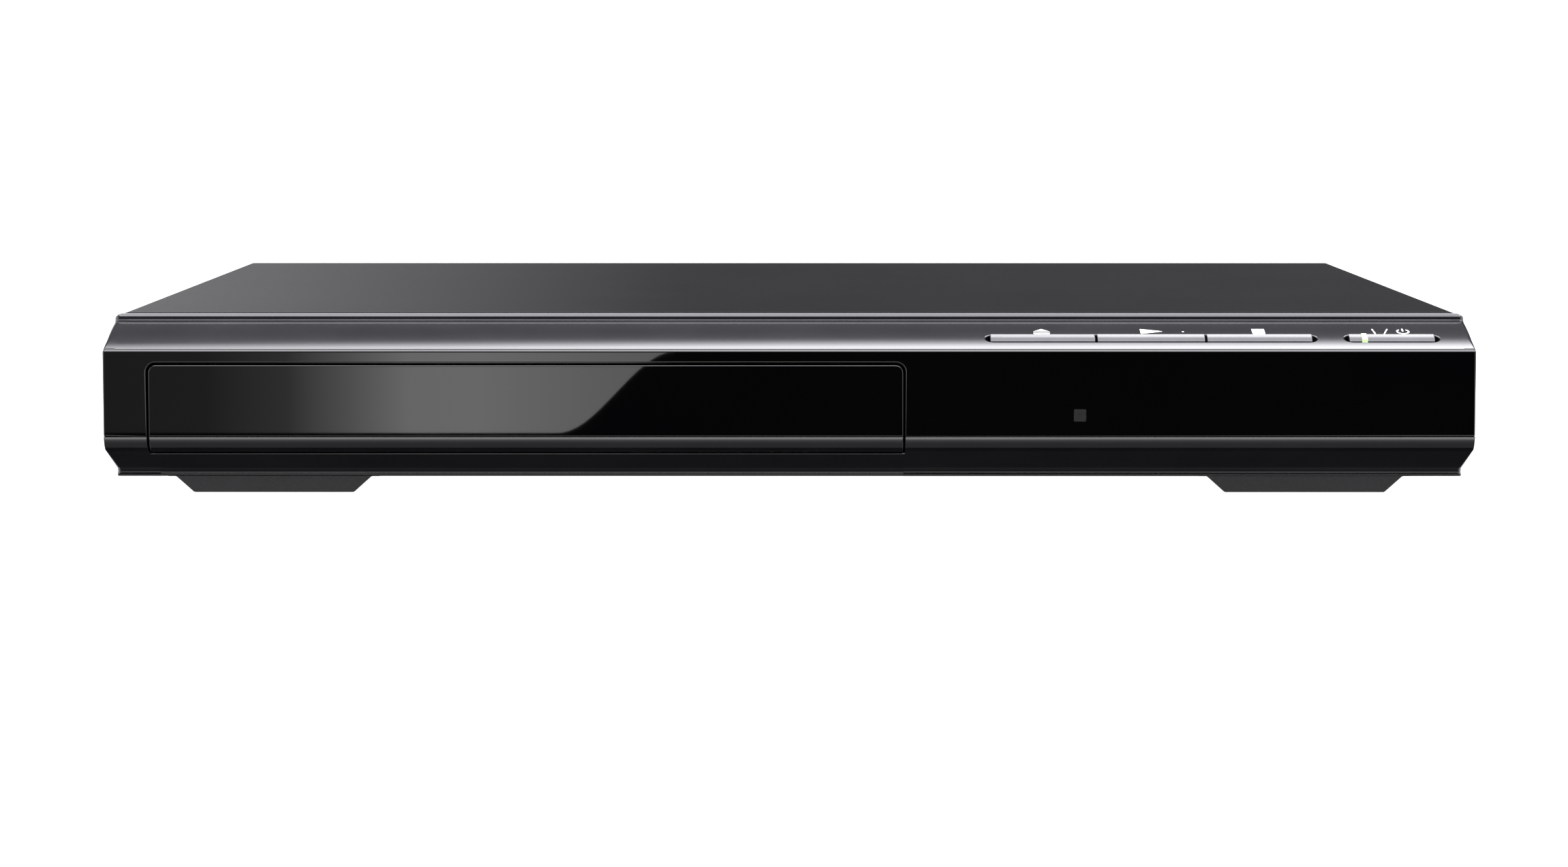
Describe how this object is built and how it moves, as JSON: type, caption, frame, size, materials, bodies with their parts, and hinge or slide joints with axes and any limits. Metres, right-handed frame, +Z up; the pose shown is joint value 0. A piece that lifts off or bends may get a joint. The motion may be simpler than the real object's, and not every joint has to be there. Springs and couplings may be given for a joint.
{
  "type": "disc player with motorised tray",
  "caption": "Slim disc player with a sliding disc tray, sprung keys on a sloped front, a geared tray loader, a tipping pickup traverse, circuit boards and rear sockets.",
  "frame": {"origin": "middle of the box on the surface it stands on", "axes": "+X to the right seen from the front, +Y to the rear, +Z up"},
  "size_m": [0.2708, 0.207, 0.0385],
  "materials": {
    "cover_paint": "fine-textured dark grey paint on steel",
    "rear_paint": "black paint on steel",
    "zinc_steel": "zinc-plated sheet steel",
    "screw_steel": "plated screws",
    "panel_abs": "semi-gloss charcoal ABS",
    "window_pc": "high-gloss black plate",
    "key_abs": "moulded ABS keys",
    "foot_plastic": "matt black plastic",
    "tray_abs": "matt dark ABS",
    "frame_plastic": "matt dark ABS",
    "gear_acetal": "natural acetal",
    "belt_rubber": "soft rubber",
    "pulley_brass": "turned brass",
    "motor_can": "plated motor can",
    "turntable_metal": "turned aluminium",
    "rod_steel": "ground steel rods",
    "lens_glass": "coated lens in its holder",
    "board_green": "green solder resist",
    "board_tan": "paper-phenolic board",
    "chip_epoxy": "moulded epoxy",
    "connector_nylon": "natural nylon",
    "socket_plastic": "moulded socket housing",
    "sleeve_nickel": "nickel-plated sleeves",
    "core_plastic": "coloured socket cores",
    "tape_yellow": "wound core in yellow tape",
    "sleeve_blue": "shrink-sleeved cans",
    "heatsink_aluminium": "extruded aluminium",
    "sheet_fibre": "insulating fibre sheet",
    "ribbon_film": "polyester ribbon cable",
    "lamp_clear": "clear green light bar"
  },
  "bodies": {
    "cabinet": {"bottom_chassis": "zinc_steel", "top_cover": "cover_paint", "rear_panel": "rear_paint", "front_panel": "panel_abs", "front_window": "window_pc", "foot_front_left": "foot_plastic", "foot_front_right": "foot_plastic", "foot_rear_left": "foot_plastic", "foot_rear_right": "foot_plastic", "cover_screws": "screw_steel", "bottom_screws": "screw_steel", "loader_screws": "screw_steel", "bridge_screws": "screw_steel", "board_screws": "screw_steel", "front_board": "board_green", "key_switches": "chip_epoxy", "status_led": "lamp_clear", "ir_receiver": "chip_epoxy", "loader_frame": "frame_plastic", "loader_bushes": "belt_rubber", "clamp_bridge": "zinc_steel", "loading_motor": "motor_can", "drive_belt": "belt_rubber", "main_board": "board_green", "decoder_chips": "chip_epoxy", "board_connectors": "connector_nylon", "socket_block": "socket_plastic", "socket_sleeves": "sleeve_nickel", "socket_cores": "core_plastic", "power_board": "board_tan", "transformer": "tape_yellow", "capacitor": "sleeve_blue", "heatsink": "heatsink_aluminium", "insulating_sheet": "sheet_fibre", "cord_gland": "foot_plastic", "front_ribbon": "ribbon_film"},
    "tray": {"disc_tray": "tray_abs", "tray_door": "panel_abs", "door_window": "window_pc"},
    "drive_gear": {"drive_gear": "gear_acetal"},
    "pulley_gear": {"pulley_gear": "gear_acetal"},
    "motor_pulley": {"motor_pulley": "pulley_brass"},
    "cam_slider": {"cam_slider": "gear_acetal"},
    "traverse": {"traverse_frame": "frame_plastic", "spindle_motor": "motor_can", "guide_rods": "rod_steel", "feed_motor": "motor_can"},
    "turntable": {"turntable": "turntable_metal", "turntable_pad": "belt_rubber"},
    "clamper": {"clamper": "gear_acetal", "clamper_magnet": "motor_can"},
    "sled": {"pickup_sled": "frame_plastic", "objective_lens": "lens_glass"},
    "feed_gear": {"feed_gear": "gear_acetal"},
    "feed_pinion": {"feed_pinion": "gear_acetal"},
    "eject_key": {"eject_button": "key_abs"},
    "play_key": {"play_button": "key_abs"},
    "stop_key": {"stop_button": "key_abs"},
    "power_key": {"power_button": "key_abs", "light_guide": "lamp_clear"}
  },
  "joints": [
    {"name": "tray_slide", "type": "slide", "parent": "cabinet", "child": "tray", "axis": [0, -1, 0], "range_m": [0, 0.138]},
    {"name": "drive_gear_spin", "type": "hinge", "parent": "cabinet", "child": "drive_gear", "pos_m": [-0.0038, -0.0695, 0.018], "axis": [0, 0, 1], "continuous": true},
    {"name": "pulley_gear_spin", "type": "hinge", "parent": "cabinet", "child": "pulley_gear", "pos_m": [-0.0288, -0.0695, 0.018], "axis": [0, 0, 1], "continuous": true},
    {"name": "motor_pulley_spin", "type": "hinge", "parent": "cabinet", "child": "motor_pulley", "pos_m": [-0.0598, -0.0695, 0.021], "axis": [0, 0, 1], "continuous": true},
    {"name": "traverse_tip", "type": "hinge", "parent": "cabinet", "child": "traverse", "pos_m": [-0.0518, 0.0505, 0.0175], "axis": [1, 0, 0], "range_deg": [0, 4.3]},
    {"name": "cam_slide", "type": "slide", "parent": "cabinet", "child": "cam_slider", "axis": [1, 0, 0], "range_m": [0, 0.018]},
    {"name": "turntable_spin", "type": "hinge", "parent": "traverse", "child": "turntable", "pos_m": [-0.0518, -0.0275, 0.027], "axis": [0, 0, 1], "continuous": true},
    {"name": "clamper_spin", "type": "hinge", "parent": "cabinet", "child": "clamper", "pos_m": [-0.0518, -0.0275, 0.033], "axis": [0, 0, 1], "continuous": true},
    {"name": "sled_slide", "type": "slide", "parent": "traverse", "child": "sled", "axis": [0, 1, 0], "range_m": [0, 0.032]},
    {"name": "feed_gear_spin", "type": "hinge", "parent": "traverse", "child": "feed_gear", "pos_m": [-0.0166, 0.0085, 0.021], "axis": [0, 0, 1], "continuous": true},
    {"name": "feed_pinion_spin", "type": "hinge", "parent": "traverse", "child": "feed_pinion", "pos_m": [-0.0166, -0.0017, 0.021], "axis": [0, 0, 1], "continuous": true},
    {"name": "eject_press", "type": "slide", "parent": "cabinet", "child": "eject_key", "axis": [0, 0.3304, -0.9438], "range_m": [0, 0.0005], "stiffness_N_per_m": 400},
    {"name": "play_press", "type": "slide", "parent": "cabinet", "child": "play_key", "axis": [0, 0.3304, -0.9438], "range_m": [0, 0.0005], "stiffness_N_per_m": 400},
    {"name": "stop_press", "type": "slide", "parent": "cabinet", "child": "stop_key", "axis": [0, 0.3304, -0.9438], "range_m": [0, 0.0005], "stiffness_N_per_m": 400},
    {"name": "power_press", "type": "slide", "parent": "cabinet", "child": "power_key", "axis": [0, 0.3304, -0.9438], "range_m": [0, 0.0005], "stiffness_N_per_m": 400}
  ],
  "couplings": [
    {"joint": "drive_gear_spin", "follows": "tray_slide", "rad_per_m": -111.11},
    {"joint": "pulley_gear_spin", "follows": "tray_slide", "rad_per_m": 285.71},
    {"joint": "motor_pulley_spin", "follows": "tray_slide", "rad_per_m": 1252.4},
    {"joint": "cam_slide", "follows": "traverse_tip", "m_per_rad": 0.23984},
    {"joint": "clamper_spin", "follows": "turntable_spin", "ratio": 1},
    {"joint": "feed_gear_spin", "follows": "sled_slide", "rad_per_m": -238.1},
    {"joint": "feed_pinion_spin", "follows": "sled_slide", "rad_per_m": 571.43}
  ]
}
